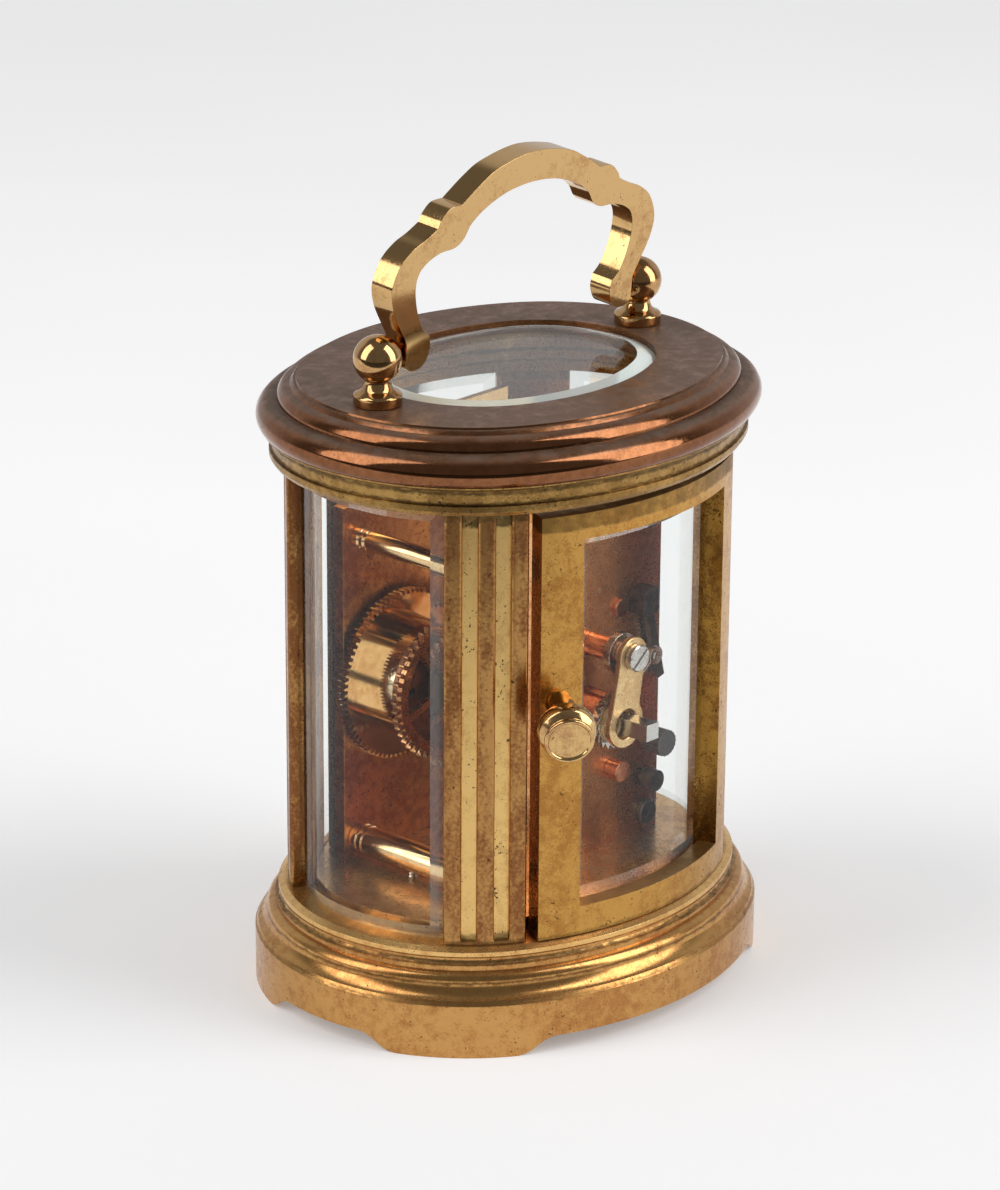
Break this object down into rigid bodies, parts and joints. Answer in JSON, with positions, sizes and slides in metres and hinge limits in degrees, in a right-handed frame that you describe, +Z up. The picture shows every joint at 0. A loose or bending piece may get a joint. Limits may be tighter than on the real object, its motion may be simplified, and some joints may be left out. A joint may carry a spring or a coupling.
{
  "type": "lantern clock",
  "caption": "Miniature oval carriage clock with bevelled glass sides, hinged back door, folding top handle and a visible spring-driven movement.",
  "frame": {"origin": "centre of the plinth's feet, on the surface that the clock stands on", "axes": "+Z up, X along the long axis of the oval and through both handle posts, +Y towards the back door, the dial faces -Y"},
  "size_m": [0.0638, 0.055, 0.0984],
  "materials": {
    "brass_aged": "aged, brown-spotted",
    "brass_cornice": "tarnished copper brown",
    "brass_bright": "polished gilt",
    "brass_plate": "satin gilt",
    "back_plate_lacquer": "rose lacquered",
    "train_brass": "bright",
    "lid_brown": "matt brown",
    "copper": "copper",
    "steel_dark": "dark steel",
    "steel_bright": "polished steel",
    "steel_blue": "blued",
    "glass": "bevelled clear",
    "enamel": "white enamel"
  },
  "bodies": {
    "case": {"base_plinth": "brass_aged", "pillar_front_left": "brass_aged", "pillar_front_right": "brass_aged", "pillar_rear_left": "brass_aged", "pillar_rear_right": "brass_aged", "cornice": "brass_cornice", "top_glass": "glass", "side_glass_left": "glass", "side_glass_right": "glass", "front_glass": "glass", "case_screws": "steel_dark", "handle_posts": "brass_bright", "front_plate": "brass_plate", "back_plate": "back_plate_lacquer", "lower_plate_pillars": "brass_bright", "upper_plate_pillars": "brass_bright", "plate_screws": "steel_dark", "movement_screws": "steel_dark", "dial_plate": "brass_plate", "dial": "enamel", "platform": "brass_plate", "escape_potence": "brass_plate", "escape_cock": "brass_plate", "balance_cock": "brass_plate", "platform_screws": "steel_dark", "hairspring": "steel_blue", "click_bridge": "brass_plate", "bridge_post": "copper", "bridge_screw": "steel_bright", "copper_bushes": "copper", "click_spring": "steel_bright", "stop_block": "steel_dark", "back_studs": "steel_dark"},
    "door": {"door_frame": "brass_aged", "door_glass": "glass", "door_knob": "brass_bright", "hinge_pins": "brass_bright"},
    "carry_handle": {"handle": "brass_bright"},
    "going_barrel": {"barrel": "train_brass", "barrel_lid": "lid_brown", "mainspring": "steel_blue"},
    "winding_wheel": {"barrel_arbor": "steel_bright", "winding_gear": "train_brass"},
    "winding_square": {"winding_arbor": "steel_bright", "ratchet_wheel": "steel_bright", "ratchet_washer": "brass_bright"},
    "pawl": {"click": "steel_bright"},
    "centre": {"centre_arbor": "steel_bright", "centre_wheel": "train_brass"},
    "third": {"third_wheel": "train_brass"},
    "crown": {"crown_wheel": "train_brass"},
    "escape": {"escape_wheel": "train_brass"},
    "lever": {"pallet_lever": "steel_bright"},
    "balance_wheel": {"balance": "brass_bright"},
    "minute": {"cannon_pinion": "train_brass", "minute_hand": "steel_blue"},
    "minute_train": {"minute_wheel": "train_brass"},
    "hour": {"hour_wheel": "train_brass", "hour_hand": "steel_blue"},
    "hand_setting": {"set_arbor": "steel_dark"}
  },
  "joints": [
    {"name": "door_hinge", "type": "hinge", "parent": "case", "child": "door", "pos_m": [-0.01525, 0.0188, 0.038], "axis": [0, 0, 1], "range_deg": [0, 110]},
    {"name": "handle_pivot", "type": "hinge", "parent": "case", "child": "carry_handle", "pos_m": [0, 0, 0.07816], "axis": [1, 0, 0], "range_deg": [-94, 104]},
    {"name": "barrel_turn", "type": "hinge", "parent": "case", "child": "going_barrel", "pos_m": [0.0085, 0, 0.0355], "axis": [0, 1, 0], "continuous": true},
    {"name": "winding_wheel_turn", "type": "hinge", "parent": "case", "child": "winding_wheel", "pos_m": [0.0085, 0, 0.0355], "axis": [0, 1, 0], "continuous": true},
    {"name": "winding_square_turn", "type": "hinge", "parent": "case", "child": "winding_square", "pos_m": [-0.0034, 0, 0.032], "axis": [0, 1, 0], "continuous": true},
    {"name": "click_pivot", "type": "hinge", "parent": "case", "child": "pawl", "pos_m": [-0.0045, 0, 0.04], "axis": [0, 1, 0], "range_deg": [0, 12], "stiffness_Nm_per_rad": 0.00002},
    {"name": "centre_turn", "type": "hinge", "parent": "case", "child": "centre", "pos_m": [0, 0, 0.04287], "axis": [0, 1, 0], "continuous": true},
    {"name": "third_turn", "type": "hinge", "parent": "case", "child": "third", "pos_m": [-0.00577, 0, 0.0462], "axis": [0, 1, 0], "continuous": true},
    {"name": "crown_turn", "type": "hinge", "parent": "case", "child": "crown", "pos_m": [-0.00273, 0, 0.0519], "axis": [0, 1, 0], "continuous": true},
    {"name": "escape_turn", "type": "hinge", "parent": "case", "child": "escape", "pos_m": [-0.00273, -0.0002, 0.06], "axis": [0, 0, 1], "continuous": true},
    {"name": "lever_pivot", "type": "hinge", "parent": "case", "child": "lever", "pos_m": [-0.00071, -0.00268, 0.06], "axis": [0, 0, 1], "range_deg": [-5, 5]},
    {"name": "balance_swing", "type": "hinge", "parent": "case", "child": "balance_wheel", "pos_m": [0.00194, -0.00593, 0.06], "axis": [0, 0, 1], "range_deg": [-135, 135], "stiffness_Nm_per_rad": 0.000002},
    {"name": "minute_turn", "type": "hinge", "parent": "case", "child": "minute", "pos_m": [0, 0, 0.04287], "axis": [0, 1, 0], "continuous": true},
    {"name": "minute_train_turn", "type": "hinge", "parent": "case", "child": "minute_train", "pos_m": [-0.00459, 0, 0.03555], "axis": [0, 1, 0], "continuous": true},
    {"name": "hour_turn", "type": "hinge", "parent": "case", "child": "hour", "pos_m": [0, 0, 0.04287], "axis": [0, 1, 0], "continuous": true},
    {"name": "hand_setting_turn", "type": "hinge", "parent": "case", "child": "hand_setting", "pos_m": [-0.00918, 0, 0.02823], "axis": [0, 1, 0], "continuous": true}
  ],
  "couplings": [
    {"joint": "third_turn", "follows": "crown_turn", "ratio": -0.13333},
    {"joint": "centre_turn", "follows": "crown_turn", "ratio": 0.016667},
    {"joint": "barrel_turn", "follows": "crown_turn", "ratio": -0.0020833},
    {"joint": "escape_turn", "follows": "crown_turn", "ratio": 8},
    {"joint": "winding_square_turn", "follows": "winding_wheel_turn", "ratio": -2},
    {"joint": "minute_train_turn", "follows": "minute_turn", "ratio": -0.33333},
    {"joint": "hour_turn", "follows": "minute_turn", "ratio": 0.083333},
    {"joint": "hand_setting_turn", "follows": "minute_turn", "ratio": 1}
  ]
}
